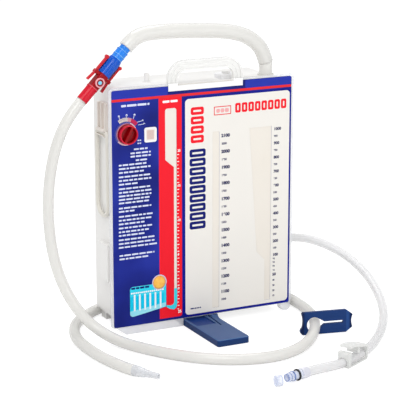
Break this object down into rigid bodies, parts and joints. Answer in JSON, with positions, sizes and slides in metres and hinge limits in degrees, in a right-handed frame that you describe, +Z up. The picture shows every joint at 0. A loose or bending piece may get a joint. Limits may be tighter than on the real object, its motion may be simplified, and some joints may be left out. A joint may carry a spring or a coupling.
{
  "type": "chest drain unit",
  "caption": "Flat dry-suction chest drain with carry handle, swing-out floor stand, bed hangers, suction dial, graduated columns, locking tube connector, clamps and fittings.",
  "frame": {"origin": "on the surface that the unit stands on, under the middle of the printed face", "axes": "+X to the reader's right along the face, +Y back from the face, +Z up"},
  "size_m": [0.4022, 0.3503, 0.3543],
  "materials": {
    "clear_moulding": "clear polished",
    "white_moulding": "satin gloss",
    "printed_film": "printed film",
    "crimson_dial": "gloss",
    "float_yellow": "satin",
    "port_rubber": "matt",
    "black_rubber": "matt",
    "spring_steel": "drawn wire",
    "relief_blue": "satin gloss",
    "soft_tube": "soft clear",
    "clear_blue": "clear tinted",
    "deep_blue": "gloss",
    "red_moulding": "gloss",
    "cyan_moulding": "gloss",
    "navy_moulding": "satin",
    "lavender_moulding": "satin"
  },
  "bodies": {
    "case": {"front_case": "clear_moulding", "rear_case": "white_moulding", "carry_handle": "clear_moulding", "front_label": "printed_film", "seal_chamber": "clear_moulding", "air_leak_meter": "clear_moulding", "sample_port": "port_rubber", "dial_seat": "white_moulding", "regulator_housing": "white_moulding", "regulator_spring": "spring_steel", "regulator_diaphragm": "black_rubber", "float_window": "clear_moulding", "float_cage": "white_moulding", "relief_housing": "white_moulding", "relief_spring": "spring_steel", "vent_stub": "white_moulding", "patient_port": "white_moulding", "suction_port": "white_moulding", "hanger_bracket_left": "white_moulding", "hanger_bracket_right": "white_moulding", "stand_pin": "navy_moulding", "upper_tube": "soft_tube", "lower_tube": "soft_tube", "suction_tube": "soft_tube", "blue_barrel": "clear_blue", "lock_collar": "deep_blue", "lock_body": "red_moulding", "lock_button": "cyan_moulding", "red_barrel": "red_moulding", "stepped_connector": "clear_moulding", "tube_clamp": "navy_moulding", "pinch_clamp": "white_moulding", "suction_connector": "clear_moulding", "connector_seal": "black_rubber", "connector_cap": "lavender_moulding"},
    "stand": {"floor_stand": "navy_moulding"},
    "dial": {"suction_dial": "crimson_dial", "dial_spindle": "white_moulding"},
    "left_hanger": {"hanger_left": "white_moulding"},
    "right_hanger": {"hanger_right": "white_moulding"},
    "relief": {"relief_button": "relief_blue"},
    "float": {"suction_float": "float_yellow"},
    "left_lever": {"lock_lever_left": "red_moulding"},
    "right_lever": {"lock_lever_right": "red_moulding"}
  },
  "joints": [
    {"name": "stand_swing", "type": "hinge", "parent": "case", "child": "stand", "pos_m": [-0.0055, 0.02, 0.004], "axis": [0, 0, 1], "range_deg": [0, 90]},
    {"name": "dial_turn", "type": "hinge", "parent": "case", "child": "dial", "pos_m": [-0.0977, -0.005, 0.2366], "axis": [0, -1, 0], "range_deg": [-38, 48]},
    {"name": "hanger_left_swing", "type": "hinge", "parent": "case", "child": "left_hanger", "pos_m": [-0.1066, 0.046, 0.231], "axis": [0, 1, 0], "range_deg": [0, 180]},
    {"name": "hanger_right_swing", "type": "hinge", "parent": "case", "child": "right_hanger", "pos_m": [0.1066, 0.046, 0.231], "axis": [0, -1, 0], "range_deg": [0, 180]},
    {"name": "relief_press", "type": "slide", "parent": "case", "child": "relief", "axis": [0, 0, -1], "range_m": [0, 0.0025], "stiffness_N_per_m": 400, "springref_m": -0.001, "deforming": ["relief_spring"]},
    {"name": "float_rise", "type": "slide", "parent": "case", "child": "float", "axis": [0, 0, 1], "range_m": [0, 0.006]},
    {"name": "lever_left_squeeze", "type": "hinge", "parent": "case", "child": "left_lever", "pos_m": [-0.12459, 0.02, 0.30693], "axis": [0, -1, 0], "range_deg": [0, 8], "stiffness_Nm_per_rad": 0.1, "springref_deg": -2.86},
    {"name": "lever_right_squeeze", "type": "hinge", "parent": "case", "child": "right_lever", "pos_m": [-0.11051, 0.02, 0.29329], "axis": [0, 1, 0], "range_deg": [0, 8], "stiffness_Nm_per_rad": 0.1, "springref_deg": -2.86}
  ]
}
